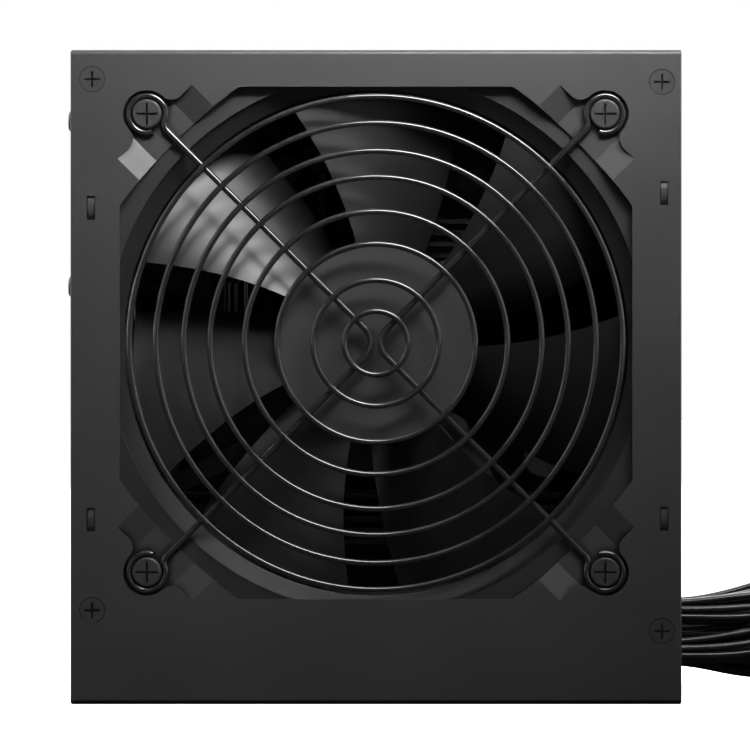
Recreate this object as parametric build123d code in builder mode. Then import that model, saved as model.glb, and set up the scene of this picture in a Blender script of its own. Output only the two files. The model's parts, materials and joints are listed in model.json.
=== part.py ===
from build123d import *
from math import atan2, cos, degrees, pi, radians, sin, sqrt, tan
import os

# Power supply unit standing on one long side. X runs from the inlet wall to the cable wall,
# Y from the fan face to the back panel, Z up. The origin is the middle of the standing side.

# ---- overall sizes of the casing
case_depth = 140.0  # along X
case_height = 86.0  # along Y
case_width = 150.0  # along Z
sheet = 0.8
bend_radius = 1.1
edge_round = 0.5
fold_gap = 0.35
flange_width = 9.0
lip_depth = 8.0

# ---- fan and its opening
fan_size = 120.0
fan_thickness = 25.0
fan_hole_spacing = 105.0
fan_lift = 7.8  # fan axis above the middle of the case
opening_half = 58.7
opening_flat = 31.4
opening_corner_depth = 65.25  # along the diagonal, from the fan axis
mouth_radius = 61.9
bore_radius = 58.2
tip_clearance = 1.7
hub_radius = 22.9
hub_depth = 17.0
hub_wall = 1.4
blade_count = 7
blade_middle_angle = 90.0
blade_edges = [(19.0, 3.6, -10.8), (38.0, 10.0, -16.6), (60.0, 23.6, -20.4)]  # out, lead, trail
blade_thickness = 1.4
blade_camber = -2.8
blade_front_inset = 3.2
blade_depth = 16.0
strut_count = 4
strut_width = 4.5
strut_depth = 3.0
strut_ring_angle = 35.0
strut_sweep = 17.6
motor_plate_radius = 23.0
shaft_radius = 1.5
shaft_boss_radius = 3.4
shaft_boss_length = 2.0
shaft_end_gap = 0.3
hub_edge = 0.5
hub_inset = 2.2
frame_flange = 3.4
frame_corner = 3.5
frame_wall = 1.5
frame_boss_radius = 3.9
mouth_depth = 4.0
motor_plate_thickness = 3.0
motor_plate_floor = 1.0
bearing_tube_radius = 4.4
bearing_tube_length = 12.0
bearing_radius = 3.3
yoke_wall = 1.0
yoke_length = 12.5
magnet_wall = 2.0
stator_gap = 2.6
stator_length = 7.0
stator_core_radius = 7.5
pole_neck = 4.6
pole_shoe = 1.4
air_gap = 0.5
coil_wall = 1.2
fan_circuit_thickness = 1.0
fan_circuit_radius = 17.0
lead_notch = 3.0
fan_lead_offset = 14.0
running_gap = 0.05

# ---- pressed recess round each fan screw
recess_depth = 2.0
recess_screw_radius = 5.4
recess_neck_radius = 3.0
recess_reach = 2.6  # from the screw towards the fan, to the tips
recess_floor_half = 6.1
recess_side_half = 12.0
recess_channel = 14.0

# ---- wire guard
ring_radii = [56.5, 50.4, 44.0, 38.0, 30.1, 22.7, 14.4, 7.3]
ring_wire = 1.4
spoke_wire = 1.5
eyelet_radius = 4.26
spoke_bulge = 1.1
spoke_vertex = 0.75
joggle_radius = 2.0
eyelet_end = 152.0
weld_sink = 0.15

# ---- screws
case_screw_head = 5.7
case_screw_core = 2.8
case_screw_length = 5.0
fan_screw_head = 6.8
fan_screw_core = 3.9
fan_screw_length = 9.0
fan_screw_head_depth = 1.9
fan_hole_diameter = 4.4
screw_gap = 0.15
cross_width = 0.5
case_cross = 3.6
fan_cross = 5.0
cross_depth = 0.9
case_screw_places = [(-65.0, 68.2), (65.5, 67.6), (-65.0, -53.4), (65.5, -58.2)]

# ---- latch slots of the fan panel
slot_width = 1.9
slot_length = 5.5
tongue_width = 1.5
tongue_rise = 0.65
slot_places = [(-65.3, 38.7), (-65.3, -32.7), (66.0, 42.1), (66.0, -32.5)]

# ---- mounting holes of the inlet wall, in (y, z)
mount_hole_radius = 1.75
mount_hole_places = [(37.0, 144.0), (37.0, 6.0), (-27.0, 144.0), (-37.0, 30.0)]

# ---- mains inlet and switch, both on the inlet wall
inlet_y = 12.0
inlet_z = 117.0
inlet_hole = (20.0, 27.6)  # Y, Z
inlet_flange = (24.0, 50.0)
inlet_flange_depth = 2.6
inlet_cavity = (16.4, 24.4)
inlet_cavity_depth = 17.0
inlet_body_depth = 21.0
inlet_flange_corner = 3.0
inlet_chamfer = 4.0
inlet_pin_pitch = 7.0
inlet_earth_offset = 4.0
inlet_pin_width = 4.0
inlet_pin_length = 2.0
inlet_pin_recess = 5.0
inlet_tab = 5.0
inlet_screw_rise = 1.8
inlet_screw_length = 6.0
inlet_screw_spacing = 40.0
inlet_screw_core = 2.9
inlet_screw_head = 5.4
fit_gap = 0.15
switch_y = 12.0
switch_z = 75.0
switch_hole = (13.0, 19.4)
switch_flange = (15.0, 21.4)
switch_flange_depth = 2.0
switch_body_depth = 13.0
switch_wall = 1.3
switch_corner = 1.2
switch_tab_pitch = 8.0
switch_tab = (4.8, 0.8)
rocker_pivot_depth = 3.0
rocker_half = 7.4
rocker_rise = 4.6
rocker_dip = 1.2
rocker_root = 3.0
rocker_root_half = 4.0
rocker_chamfer = 0.4
rocker_pin_reach = 5.6
rocker_gap = 0.35
rocker_tilt = 10.0
rocker_pin_radius = 1.0

# ---- vent of the inlet wall
vent_flats = 6.0
vent_web = 1.2
vent_margin = 3.0
flange_depth_margin = 7.0

# ---- cable exit
exit_y = 8.2
exit_z = 13.6
exit_hole = (23.4, 20.6)
exit_corner = 5.0
grommet_lip = 1.9
grommet_wall = 1.2
grommet_lip_depth = 1.6

# ---- cables: bundles that leave the grommet and lie coiled beside the case
coil_out = 95.0
coil_y = -27.5
coil_start_angle = 120.0
coil_step = 30.0
cables = {
    "main_cable": {
        "diameter": 10.4, "exit": (11.0, 10.4), "board_x": 50.0,
        "way_in": [(14.0, 11.0, 10.4), (35.0, 15.0, 7.8)],
        "outer": 66.5, "pitch": 12.0, "level": 6.5, "steps": 12,
        "tail": [(-6.0, 51.8, 6.3), (14.5, 45.6, 6.1), (28.2, 30.6, 5.9), (31.8, 10.0, 5.7),
                 (23.6, -9.0, 5.5), (9.0, -20.4, 5.5)],
    },
    "processor_cable": {
        "diameter": 6.0, "exit": (2.2, 9.5), "board_x": 40.0,
        "way_in": [(14.0, 2.2, 9.5), (35.0, 4.0, 14.9)],
        "outer": 64.0, "pitch": 7.2, "level": 15.5, "steps": 20,
        "tail": [(-38.0, -31.5, 15.3), (-40.5, -17.0, 10.6), (-37.0, -2.5, 5.5),
                 (-31.5, 8.0, 5.5)],
    },
    "graphics_cable": {
        "diameter": 6.0, "exit": (5.8, 18.6), "board_x": 46.0,
        "way_in": [(14.0, 5.8, 18.6), (35.0, 8.5, 21.8)],
        "outer": 64.0, "pitch": 7.2, "level": 22.0, "steps": 14,
        "tail": [(35.8, 32.4, 22.0), (41.3, 18.0, 14.0), (42.7, 2.4, 5.5), (38.9, -10.6, 5.5)],
    },
    "drive_cable": {
        "diameter": 5.0, "exit": (13.0, 19.2), "board_x": 61.0,
        "way_in": [(14.0, 13.0, 19.2), (35.0, 14.5, 26.8)],
        "outer": 64.0, "pitch": 6.2, "level": 28.3, "steps": 13,
        "tail": [(14.0, 46.5, 27.8), (21.9, 31.7, 22.5), (20.5, 15.8, 18.4), (13.0, 2.8, 15.6),
                 (4.3, -6.9, 14.6), (-2.8, -13.9, 14.6)],
    },
}
connector_pitch = 4.2
connector_wall = 0.8
connector_height = 8.8
connector_depth = 15.0
connector_pocket = 3.2
connector_pocket_depth = 8.0
latch_width = 3.4
latch_rise = 1.0
foot_rise = 0.8
drive_plug = (23.0, 6.0, 14.0)  # width, height, depth
drive_slot = (19.6, 2.2, 8.0)
tie_places = [120.0, 210.0, 300.0]  # degrees swept from where the cables join the coil
tie_width = 3.6
tie_thickness = 0.9
tie_gap = 0.2
tie_corner = 2.5
tie_head = 4.5

# ---- circuit board and what stands on it
board_thickness = 1.6
board_standoff = 6.2
board_inset = 5.0
board_screw_inset = 5.0
board_screw_core = 2.8
board_screw_head = 5.5
board_screw_rise = 1.8
standoff_radius = 3.2
liner_gap = 0.5
liner_thickness = 0.4
can_groove = 0.35
can_neck_height = 2.0
choke_wire = 1.2
core_leg_share = 0.17
core_length_share = 0.42
core_post = 4.0
bobbin_base = 3.0
bobbin_rail = 2.0
heatsink_fins = 5
heatsink_pitch = 2.7
heatsink_fin = 1.1
heatsink_fin_depth = 14.0
heatsink_base = 2.4
heatsink_web = 3.0
primary_sink_z = 41.5
secondary_sink_z = 106.5
package_leg = 6.0
package_lead = 1.0
fuse_length = 20.0
fuse_radius = 2.5
fuse_clip = 3.0
fuse_lift = 4.0
controller_board_place = (-12.8, 110.6, 123.0, 42.0)  # x, lowest z, highest z, height
controller_thickness = 1.4
controller_chip = 1.2
lead_out = 3.5
lead_stand = 7.0
lead_bends = [1.6, 2.5]
inlet_landings = (137.0, 97.0)
switch_lead_spread = 5.0
lead_wire = 2.0
fan_plug = (8.0, 6.0, 9.0)  # X, Z, height
fan_plug_x = 57.0
fan_plug_z = 36.0
fan_lead_diameter = 1.8
fan_lead_inside = 2.5

# ---- derived places
fan_panel_y = -case_height / 2
back_panel_y = case_height / 2
inlet_wall_x = -case_depth / 2
cable_wall_x = case_depth / 2
coil_x = cable_wall_x + coil_out
fan_z = case_width / 2 + fan_lift
panel_back_y = fan_panel_y + sheet
recess_y = fan_panel_y + recess_depth
fan_front_y = recess_y + sheet
fan_back_y = fan_front_y + fan_thickness
board_back_y = back_panel_y - sheet - board_standoff
board_front_y = board_back_y - board_thickness
spoke_y = recess_y - spoke_wire / 2
ring_y = spoke_y - (spoke_wire + ring_wire) / 2 + weld_sink
spoke_bend_radius = (spoke_vertex + spoke_bulge) / (sqrt(2) - 1)
hub_front_y = fan_front_y + hub_inset
blade_front_y = fan_front_y + blade_front_inset
blade_back_y = blade_front_y + blade_depth

os.makedirs("parts", exist_ok=True)
made = []


def keep(part, label):
    """Label a finished piece and write it as one STEP file."""
    part.label = label
    export_step(part, f"parts/{label}.step")
    made.append(label)
    print(f"{label}: {len(part.solids())} solids, {part.volume:.1f} mm3")


def facing(y):
    """Sketch plane seen from the fan side: its x is X, its y is Z, its normal points to -Y."""
    return Plane(origin=(0, y, 0), x_dir=(1, 0, 0), z_dir=(0, -1, 0))


def inlet_side(x):
    """Sketch plane on the inlet side: its x is Y, its y is Z, its normal points to +X."""
    return Plane(origin=(x, 0, 0), x_dir=(0, 1, 0), z_dir=(1, 0, 0))


def driver_cross(plane, places, length, depth):
    """Cross-shaped driver recesses to cut into screw heads."""
    with BuildPart() as cross:
        with BuildSketch(plane):
            with Locations(*places):
                Rectangle(length, cross_width)
                Rectangle(cross_width, length)
        extrude(amount=-depth)
    return cross.part


# ---------------------------------------------------------------- casing

def corner_frames():
    """The four fan corners as (sign x, sign z)."""
    return [(sx, sz) for sx in (-1, 1) for sz in (-1, 1)]


fan_screw_places = [
    (sx * fan_hole_spacing / 2, fan_z + sz * fan_hole_spacing / 2) for sx, sz in corner_frames()
]


def about_fan(x, z, quarter=0):
    """Point given from the fan axis, turned by quarter turns, in facing-plane coordinates."""
    turned = Vector(x, z).rotate(Axis.Z, 90 * quarter)
    return (turned.X, turned.Y + fan_z)


def opening_outline():
    """Square opening whose corners are cut by shallow arcs."""
    corner = opening_corner_depth / sqrt(2)
    with BuildSketch() as outline:
        with BuildLine():
            for quarter in range(4):
                Line(about_fan(opening_half, -opening_flat, quarter),
                     about_fan(opening_half, opening_flat, quarter))
                ThreePointArc(about_fan(opening_half, opening_flat, quarter),
                              about_fan(corner, corner, quarter),
                              about_fan(opening_flat, opening_half, quarter))
        make_face()
    return outline.sketch


def diagonal_plane(sx, sz, y):
    """Facing plane centred on a fan screw, with its x along the diagonal, outwards."""
    across = fan_hole_spacing / 2
    return Plane(origin=(sx * across, y, fan_z + sz * across), x_dir=(sx, 0, sz),
                 z_dir=(0, -1, 0))


def recess_outline(grow=0.0):
    """Outline of one pressed recess: a channel that narrows to a circle round the screw."""
    with BuildSketch() as outline:
        with Locations((grow - recess_reach - recess_channel / 2, 0)):
            Rectangle(recess_channel, 2 * (recess_side_half + grow))
        Circle(recess_screw_radius + grow)
        ends = [v for v in outline.vertices() if abs(v.X + recess_reach - grow) < 0.01]
        fillet([v for v in ends if abs(v.Y) < recess_side_half - 1], recess_neck_radius - grow)
    return outline.sketch


def recess_cavity(sx, sz):
    """Hollow of one recess: a flat floor with a sloped face along each side."""
    across = fan_hole_spacing / 2
    section = Plane(origin=(sx * across, fan_panel_y, fan_z + sz * across),
                    x_dir=(sz, 0, -sx), z_dir=(sx, 0, sz))
    with BuildPart() as hollow:
        with BuildSketch(diagonal_plane(sx, sz, recess_y)):
            add(recess_outline())
        extrude(amount=recess_depth)
        with BuildSketch(section):
            with BuildLine():
                Polyline((-recess_side_half, 0), (recess_side_half, 0),
                         (recess_floor_half, recess_depth), (-recess_floor_half, recess_depth),
                         close=True)
            make_face()
        extrude(amount=2 * recess_channel, both=True, mode=Mode.INTERSECT)
    return hollow.part


def case_screw_points():
    """Centres of the case screws in facing-plane coordinates."""
    return [(x, z + case_width / 2) for x, z in case_screw_places]


def slot_points():
    """Centres of the latch slots in facing-plane coordinates."""
    return [(x, z + case_width / 2) for x, z in slot_places]


def countersinks():
    """Cone seats for the case screws, through the fan panel and the flange behind it."""
    head = case_screw_head / 2 + screw_gap
    core = case_screw_core / 2 + screw_gap
    with BuildPart() as seats:
        for x, z in case_screw_points():
            with BuildSketch(Plane(origin=(x, fan_panel_y, z), x_dir=(1, 0, 0), z_dir=(0, 0, 1))):
                with BuildLine():
                    Polyline((0, 0), (head, 0), (core, head - core), (core, case_screw_length),
                             (0, case_screw_length), close=True)
                make_face()
            revolve(axis=Axis((x, 0, z), (0, 1, 0)))
    return seats.part


def u_outline(width, height, thickness, outer):
    """Bent sheet seen along its folds: a base of the given width and two walls of that height."""
    inner = max(outer - thickness, 0.2)
    half = width / 2
    with BuildSketch() as outline:
        with BuildLine():
            Polyline((-half, height), (-half, 0), (half, 0), (half, height),
                     (half - thickness, height), (half - thickness, thickness),
                     (-half + thickness, thickness), (-half + thickness, height), close=True)
        make_face()
        fillet(outline.vertices().group_by(Axis.Y)[0], outer)
        fillet([v for v in outline.vertices() if abs(v.Y - thickness) < 1e-6], inner)
    return outline.sketch


def outside_edges(ends):
    """Edges of the cover's two cut ends that lie on its outer skin."""
    found = []
    for edge in ends.edges():
        middle = edge.center()
        depth = min(middle.Y - fan_panel_y, case_width / 2 - abs(middle.Z - case_width / 2))
        if depth < 0.45 * sheet and middle.Y < back_panel_y - sheet:
            found.append(edge)
    return found


def build_fan_cover():
    """Fan panel with a wall folded back along each long side."""
    profile = Plane(origin=(-case_depth / 2, fan_panel_y, case_width / 2), x_dir=(0, 0, -1),
                    z_dir=(1, 0, 0))
    with BuildPart() as cover:
        with BuildSketch(profile):
            add(u_outline(case_width, case_height, sheet, bend_radius))
        extrude(amount=case_depth)
        fillet(outside_edges(cover.faces().filter_by(Axis.X)), edge_round)
        for sx, sz in corner_frames():
            with BuildSketch(diagonal_plane(sx, sz, fan_front_y)):
                add(recess_outline(sheet))
            extrude(amount=recess_depth)
        for sx, sz in corner_frames():
            add(recess_cavity(sx, sz), mode=Mode.SUBTRACT)
        with BuildSketch(facing(fan_front_y)):
            add(opening_outline())
        extrude(amount=2 * recess_depth, mode=Mode.SUBTRACT)
        with BuildSketch(facing(fan_front_y)):
            with Locations(*fan_screw_places):
                Circle(fan_hole_diameter / 2)
        extrude(amount=2 * recess_depth, mode=Mode.SUBTRACT)
        with BuildSketch(facing(panel_back_y)):
            with Locations(*slot_points()):
                Rectangle(slot_width, slot_length)
        extrude(amount=2 * sheet, mode=Mode.SUBTRACT)
        add(countersinks(), mode=Mode.SUBTRACT)
    keep(cover.part, "fan_cover")


def vent_points():
    """Centres of the hexagonal vent holes of the inlet wall, in (y, z)."""
    pitch = vent_flats + vent_web
    row_pitch = pitch * sqrt(3) / 2
    keep_out = [(inlet_y, inlet_z, inlet_flange[0] / 2, inlet_flange[1] / 2),
                (switch_y, switch_z, switch_flange[0] / 2, switch_flange[1] / 2)]
    keep_out += [(y, z, vent_margin, vent_margin) for y, z in mount_hole_places]
    reach_y = case_height / 2 - flange_depth_margin
    rows = int((case_width - 2 * flange_depth_margin) / row_pitch)
    columns = int(2 * reach_y / pitch)
    points = []
    for row in range(rows):
        z = case_width / 2 + (row - (rows - 1) / 2) * row_pitch
        shift = pitch / 4 if row % 2 else -pitch / 4
        for column in range(columns):
            y = (column - (columns - 1) / 2) * pitch + shift
            clear = all(abs(y - ky) > hy + pitch / 2 + vent_web or
                        abs(z - kz) > hz + pitch / 2 + vent_web for ky, kz, hy, hz in keep_out)
            if clear:
                points.append((y, z))
    return points


def build_chassis():
    """Back panel with the inlet wall, the cable wall and their flanges behind the fan panel."""
    depth = case_height - sheet
    profile = Plane(origin=(0, back_panel_y, sheet + fold_gap), x_dir=(-1, 0, 0), z_dir=(0, 0, 1))
    height = case_width - 2 * (sheet + fold_gap)
    with BuildPart() as chassis:
        with BuildSketch(profile):
            add(u_outline(case_depth, depth, sheet, bend_radius))
            for side in (-1, 1):
                with Locations((side * (case_depth - flange_width) / 2, depth - sheet / 2)):
                    Rectangle(flange_width, sheet)
        extrude(amount=height)
        lip = Plane(origin=(0, 0, case_width / 2))
        for side in (-1, 1):
            with Locations(lip.offset(side * (height - sheet) / 2)):
                with Locations((0, back_panel_y - sheet / 2 - lip_depth / 2)):
                    Box(case_depth - 2 * sheet, lip_depth + sheet / 2, sheet)
        with BuildSketch(inlet_side(inlet_wall_x)):
            with Locations((inlet_y, inlet_z)):
                Rectangle(*inlet_hole)
                with GridLocations(0, inlet_screw_spacing, 1, 2):
                    Circle(inlet_screw_core / 2 + screw_gap)
            with Locations((switch_y, switch_z)):
                Rectangle(*switch_hole)
            with Locations(*mount_hole_places):
                Circle(mount_hole_radius)
            with Locations(*vent_points()):
                RegularPolygon(vent_flats / 2, 6, major_radius=False, rotation=30)
        extrude(amount=2 * sheet, mode=Mode.SUBTRACT)
        with BuildSketch(inlet_side(cable_wall_x)):
            with Locations((exit_y, exit_z)):
                RectangleRounded(*exit_hole, exit_corner)
        extrude(amount=-2 * sheet, mode=Mode.SUBTRACT)
        add(countersinks(), mode=Mode.SUBTRACT)
        for x, z in slot_points():
            tongue = Plane(origin=(x - tongue_width / 2, panel_back_y, z), x_dir=(0, 1, 0),
                           z_dir=(1, 0, 0))
            with BuildSketch(tongue):
                half = slot_length / 2 - fit_gap
                with BuildLine():
                    Line((sheet / 2, -half), (sheet / 2, half))
                    Line((sheet / 2, half), (-tongue_rise / 3, half))
                    ThreePointArc((-tongue_rise / 3, half), (-tongue_rise, 0), (0, -half))
                    Line((0, -half), (sheet / 2, -half))
                make_face()
            extrude(amount=tongue_width)
    keep(chassis.part, "chassis")


def build_case_screws():
    """Countersunk screws that hold the cover to the flanges."""
    with BuildPart() as screws:
        for x, z in case_screw_points():
            with BuildSketch(Plane(origin=(x, fan_panel_y, z), x_dir=(1, 0, 0), z_dir=(0, 0, 1))):
                head = case_screw_head / 2
                core = case_screw_core / 2
                with BuildLine():
                    Polyline((0, 0), (head, 0), (core, head - core), (core, case_screw_length),
                             (0, case_screw_length), close=True)
                make_face()
            revolve(axis=Axis((x, 0, z), (0, 1, 0)))
        add(driver_cross(facing(fan_panel_y), case_screw_points(), case_cross, cross_depth),
            mode=Mode.SUBTRACT)
    keep(screws.part, "case_screws")


def build_fan_screws():
    """Pan-head screws through the guard eyelets into the fan frame."""
    with BuildPart() as screws:
        with BuildSketch(facing(recess_y)):
            with Locations(*fan_screw_places):
                Circle(fan_screw_head / 2)
        extrude(amount=fan_screw_head_depth)
        fillet(faces().sort_by(Axis.Y)[0:4].edges(), 0.5)
        with BuildSketch(facing(recess_y)):
            with Locations(*fan_screw_places):
                Circle(fan_screw_core / 2)
        extrude(amount=-fan_screw_length)
        add(driver_cross(facing(recess_y - fan_screw_head_depth), fan_screw_places, fan_cross,
                         cross_depth), mode=Mode.SUBTRACT)
    keep(screws.part, "fan_screws")


# ---------------------------------------------------------------- wire guard

def fan_axis_plane(y):
    """Facing plane centred on the fan axis."""
    return Plane(origin=(0, y, fan_z), x_dir=(1, 0, 0), z_dir=(0, -1, 0))


def build_guard_rings():
    """Concentric wire rings in front of the two spokes."""
    with BuildPart() as rings:
        with Locations(fan_axis_plane(ring_y)):
            for radius in ring_radii:
                Torus(radius, ring_wire / 2)
    keep(rings.part, "guard_rings")


def spoke_half(side, up):
    """Points of half a spoke wire: bend, straight, joggle and open eyelet, about the fan axis."""
    screw = Vector(side * fan_hole_spacing / 2, up * fan_hole_spacing / 2)
    out = Vector(side, up).normalized()
    over = Vector(-side, up).normalized()
    offset = spoke_vertex / sqrt(2)
    reach = sqrt((joggle_radius + eyelet_radius) ** 2 - (offset + joggle_radius) ** 2)
    joggle_start = screw - out * reach + over * offset
    joggle_centre = joggle_start + over * joggle_radius
    towards = (screw - joggle_centre).normalized()
    eyelet_start = screw - towards * eyelet_radius
    halfway = joggle_centre + (towards - over).normalized() * joggle_radius
    entry = degrees(atan2((-towards).dot(over), (-towards).dot(out)))

    def on_eyelet(angle):
        return screw + (out * cos(radians(angle)) + over * sin(radians(angle))) * eyelet_radius

    bend = Vector(-side * spoke_vertex, 0) + out * spoke_bend_radius
    points = [bend, joggle_start, halfway, eyelet_start, on_eyelet((entry - eyelet_end) / 2),
              on_eyelet(-eyelet_end)]
    return [(point.X, point.Y) for point in points]


def build_guard_spoke(side, label):
    """Wire from one upper eyelet past the middle to the lower eyelet on the same side."""
    upper = spoke_half(side, 1)
    lower = spoke_half(side, -1)
    with BuildPart() as spoke:
        with BuildLine(fan_axis_plane(spoke_y)) as path:
            ThreePointArc(upper[0], (side * spoke_bulge, 0), lower[0])
            for bend, joggle, halfway, eyelet, around, end in (upper, lower):
                Line(bend, joggle)
                ThreePointArc(joggle, halfway, eyelet)
                ThreePointArc(eyelet, around, end)
        tip = path.wire() @ 0
        along = path.wire() % 0
        with BuildSketch(Plane(origin=tip, z_dir=along)):
            Circle(spoke_wire / 2)
        sweep(path=path.wire())
    keep(spoke.part, label)


# ---------------------------------------------------------------- fan

def fan_corner_places():
    """Fan screw places from the fan axis."""
    return [(sx * fan_hole_spacing / 2, sz * fan_hole_spacing / 2) for sx, sz in corner_frames()]


def build_fan_frame():
    """Square fan frame: flanges, air duct, screw bosses, struts and motor plate."""
    with BuildPart() as frame:
        for y in (fan_front_y + frame_flange, fan_back_y):
            with BuildSketch(fan_axis_plane(y)):
                RectangleRounded(fan_size, fan_size, frame_corner)
            extrude(amount=frame_flange)
        with BuildSketch(fan_axis_plane(fan_back_y)):
            Circle(bore_radius + frame_wall)
            Rectangle(fan_size, fan_size, mode=Mode.INTERSECT)
        extrude(amount=fan_thickness)
        with BuildSketch(fan_axis_plane(fan_back_y)):
            with Locations(*fan_corner_places()):
                Circle(frame_boss_radius)
        extrude(amount=fan_thickness)
        with BuildSketch(fan_axis_plane(fan_back_y)):
            Circle(bore_radius)
        extrude(amount=fan_thickness, mode=Mode.SUBTRACT)
        with BuildSketch(Plane(origin=(0, fan_front_y, fan_z))):
            with BuildLine():
                Polyline((0, 0), (mouth_radius, 0), (mouth_radius, mouth_depth / 4),
                         (bore_radius, mouth_depth), (0, mouth_depth), close=True)
            make_face()
        revolve(axis=Axis((0, 0, fan_z), (0, 1, 0)), mode=Mode.SUBTRACT)
        with BuildSketch(fan_axis_plane(fan_back_y)):
            Circle(motor_plate_radius)
        extrude(amount=motor_plate_thickness)
        with BuildSketch(fan_axis_plane(fan_back_y)):
            for place in range(strut_count):
                ring_angle = radians(strut_ring_angle + 360 / strut_count * place)
                hub_angle = ring_angle + radians(strut_sweep)
                outer = Vector(cos(ring_angle), sin(ring_angle)) * (bore_radius + frame_wall / 2)
                inner = Vector(cos(hub_angle), sin(hub_angle)) * (motor_plate_radius - strut_width)
                along = outer - inner
                with Locations(Location((inner + outer) / 2,
                                        (0, 0, degrees(atan2(along.Y, along.X))))):
                    Rectangle(along.length, strut_width)
        extrude(amount=strut_depth)
        with BuildSketch(fan_axis_plane(fan_back_y - motor_plate_thickness)):
            Circle(bearing_tube_radius)
        extrude(amount=bearing_tube_length)
        with BuildSketch(fan_axis_plane(fan_back_y - motor_plate_floor)):
            Circle(bearing_radius)
        extrude(amount=fan_thickness, mode=Mode.SUBTRACT)
        with BuildSketch(fan_axis_plane(fan_back_y)):
            with Locations(*fan_corner_places()):
                Circle(fan_screw_core / 2 + screw_gap)
        extrude(amount=fan_thickness, mode=Mode.SUBTRACT)
        with Locations((fan_size / 2, fan_back_y - lead_notch / 2,
                        fan_z - fan_hole_spacing / 2 + fan_lead_offset)):
            Box(4 * frame_wall, lead_notch, lead_notch, mode=Mode.SUBTRACT)
    keep(frame.part, "fan_frame")


def blade_section(distance, lead, trail, turn):
    """Thin cambered strip of a blade, in a plane square to the blade's middle direction."""
    middle = radians(turn)
    plane = Plane(origin=(distance * cos(middle), 0, fan_z + distance * sin(middle)),
                  x_dir=(-sin(middle), 0, cos(middle)), z_dir=(cos(middle), 0, sin(middle)))
    flip = plane.y_dir.Y
    front = blade_front_y * flip
    back = blade_back_y * flip
    half = blade_thickness / 2 * flip
    bow = blade_camber * flip
    with BuildSketch(plane) as section:
        with BuildLine():
            Line((lead, front - half), (lead, front + half))
            ThreePointArc((lead, front + half),
                          ((lead + trail) / 2, (front + back) / 2 + half + bow),
                          (trail, back + half))
            Line((trail, back + half), (trail, back - half))
            ThreePointArc((trail, back - half),
                          ((lead + trail) / 2, (front + back) / 2 - half + bow),
                          (lead, front - half))
        make_face()
    return section.sketch


def build_fan_rotor():
    """Cup-shaped hub with its blades."""
    tip_radius = bore_radius - tip_clearance
    with BuildPart() as blades:
        for index in range(blade_count):
            turn = blade_middle_angle + 360 / blade_count * index
            for distance, lead, trail in blade_edges:
                add(blade_section(distance, lead, trail, turn))
            loft()
        with BuildSketch(fan_axis_plane(fan_back_y)):
            Circle(tip_radius)
            Circle(hub_radius - hub_wall / 2, mode=Mode.SUBTRACT)
        extrude(amount=fan_thickness, mode=Mode.INTERSECT)
    with BuildPart() as rotor:
        with BuildSketch(fan_axis_plane(hub_front_y)):
            Circle(hub_radius)
        extrude(amount=-hub_depth)
        fillet(rotor.faces().sort_by(Axis.Y)[0].edges(), hub_edge)
        with BuildSketch(fan_axis_plane(hub_front_y + hub_wall)):
            Circle(hub_radius - hub_wall)
        extrude(amount=-hub_depth, mode=Mode.SUBTRACT)
        with BuildSketch(fan_axis_plane(hub_front_y + hub_wall)):
            Circle(shaft_boss_radius)
        extrude(amount=-shaft_boss_length)
        with BuildSketch(fan_axis_plane(hub_front_y + hub_wall)):
            Circle(shaft_radius)
        extrude(amount=-hub_depth, mode=Mode.SUBTRACT)
        add(blades.part)
    keep(rotor.part, "fan_rotor")


def ring_piece(label, y_front, length, outer, inner):
    """Plain ring on the fan axis."""
    with BuildPart() as ring:
        with BuildSketch(fan_axis_plane(y_front)):
            Circle(outer)
            if inner:
                Circle(inner, mode=Mode.SUBTRACT)
        extrude(amount=-length)
    keep(ring.part, label)


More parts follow.
